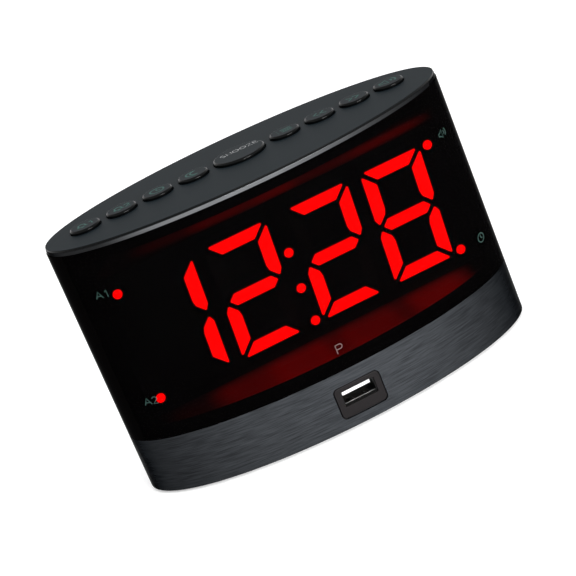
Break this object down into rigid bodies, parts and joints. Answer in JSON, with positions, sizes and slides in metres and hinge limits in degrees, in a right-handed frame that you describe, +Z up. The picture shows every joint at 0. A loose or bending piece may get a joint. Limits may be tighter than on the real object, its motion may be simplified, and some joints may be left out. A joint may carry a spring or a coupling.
{
  "type": "clock radio",
  "caption": "Free-standing clock radio with an elliptical case, a wrap-round dark display window, round top push buttons, a front USB socket and a hinged backup-cell door.",
  "frame": {"origin": "on the surface it stands on, under the middle of the elliptical case", "axes": "+Z up, +X along the case to the user's right, the display faces -Y"},
  "size_m": [0.155, 0.07, 0.1006],
  "materials": {
    "brushed_band": "dark grey metal, brushed along its length",
    "tinted_window": "dark smoke tint, polished",
    "grey_rim": "satin dark grey, upright band",
    "black_top": "fine matte texture",
    "black_case": "fine matte texture",
    "black_inner": "satin black",
    "black_button": "satin black",
    "lit_red": "translucent red, lit",
    "dark_red": "translucent red, unlit",
    "lamp": "clear red resin",
    "board_green": "solder resist",
    "switch_black": "moulded",
    "chip_black": "moulded epoxy",
    "can_aluminium": "satin can",
    "tinned_steel": "tin plated sheet",
    "white_nylon": "moulded nylon",
    "ribbon_grey": "flat cable",
    "socket_black": "moulded, brown black",
    "contact_gold": "gold flash",
    "cell_steel": "nickel plated",
    "black_rubber": "moulded",
    "paper_black": "pressed paper",
    "magnet_grey": "ferrite",
    "foam_black": "closed foam",
    "wire_black": "insulated wire",
    "zinc_steel": "zinc plated"
  },
  "bodies": {
    "case": {"base_band": "brushed_band", "board_screws": "zinc_steel", "bottom_plate": "black_case", "capacitors": "can_aluminium", "case_screws": "zinc_steel", "cell_clips": "tinned_steel", "coin_cell": "cell_steel", "colon_dots": "lit_red", "connectors": "white_nylon", "dc_jack": "socket_black", "dc_pin": "tinned_steel", "display_block": "black_inner", "display_board": "board_green", "display_leds": "lamp", "display_ribbon": "ribbon_grey", "display_surround": "black_inner", "feet": "black_rubber", "indicator_dots": "lit_red", "key_board": "board_green", "key_ribbon": "ribbon_grey", "key_screws": "zinc_steel", "key_switches": "switch_black", "lit_segments": "lit_red", "lower_case": "black_case", "main_board": "board_green", "main_chips": "chip_black", "power_coil": "chip_black", "rear_cover": "black_case", "speaker_cone": "paper_black", "speaker_frame": "tinned_steel", "speaker_gasket": "foam_black", "speaker_magnet": "magnet_grey", "speaker_screws": "zinc_steel", "speaker_wires": "wire_black", "top_panel": "black_top", "top_rim": "grey_rim", "tuner_shield": "tinned_steel", "unlit_segments": "dark_red", "usb_bezel": "socket_black", "usb_contacts": "contact_gold", "usb_shell": "tinned_steel", "usb_tongue": "white_nylon", "window": "tinted_window"},
    "alarm_1_button": {"alarm_1_button": "black_button"},
    "alarm_2_button": {"alarm_2_button": "black_button"},
    "clock_set_button": {"clock_set_button": "black_button"},
    "sleep_button": {"sleep_button": "black_button"},
    "snooze_button": {"snooze_button": "black_button"},
    "preset_button": {"preset_button": "black_button"},
    "tune_down_button": {"tune_down_button": "black_button"},
    "tune_up_button": {"tune_up_button": "black_button"},
    "volume_button": {"volume_button": "black_button"},
    "battery_door": {"battery_door": "black_case"}
  },
  "joints": [
    {"name": "alarm_1_press", "type": "slide", "parent": "case", "child": "alarm_1_button", "axis": [0, 0, -1], "range_m": [0, 0.0008], "stiffness_N_per_m": 300, "springref_m": -0.0005},
    {"name": "alarm_2_press", "type": "slide", "parent": "case", "child": "alarm_2_button", "axis": [0, 0, -1], "range_m": [0, 0.0008], "stiffness_N_per_m": 300, "springref_m": -0.0005},
    {"name": "clock_set_press", "type": "slide", "parent": "case", "child": "clock_set_button", "axis": [0, 0, -1], "range_m": [0, 0.0008], "stiffness_N_per_m": 300, "springref_m": -0.0005},
    {"name": "sleep_press", "type": "slide", "parent": "case", "child": "sleep_button", "axis": [0, 0, -1], "range_m": [0, 0.0008], "stiffness_N_per_m": 300, "springref_m": -0.0005},
    {"name": "snooze_press", "type": "slide", "parent": "case", "child": "snooze_button", "axis": [0, 0, -1], "range_m": [0, 0.001], "stiffness_N_per_m": 300, "springref_m": -0.0005},
    {"name": "preset_press", "type": "slide", "parent": "case", "child": "preset_button", "axis": [0, 0, -1], "range_m": [0, 0.0008], "stiffness_N_per_m": 300, "springref_m": -0.0005},
    {"name": "tune_down_press", "type": "slide", "parent": "case", "child": "tune_down_button", "axis": [0, 0, -1], "range_m": [0, 0.0008], "stiffness_N_per_m": 300, "springref_m": -0.0005},
    {"name": "tune_up_press", "type": "slide", "parent": "case", "child": "tune_up_button", "axis": [0, 0, -1], "range_m": [0, 0.0008], "stiffness_N_per_m": 300, "springref_m": -0.0005},
    {"name": "volume_press", "type": "slide", "parent": "case", "child": "volume_button", "axis": [0, 0, -1], "range_m": [0, 0.0008], "stiffness_N_per_m": 300, "springref_m": -0.0005},
    {"name": "battery_door_hinge", "type": "hinge", "parent": "case", "child": "battery_door", "pos_m": [-0.028, 0.0122, 0.002], "axis": [1, 0, 0], "range_deg": [0, 80]}
  ]
}
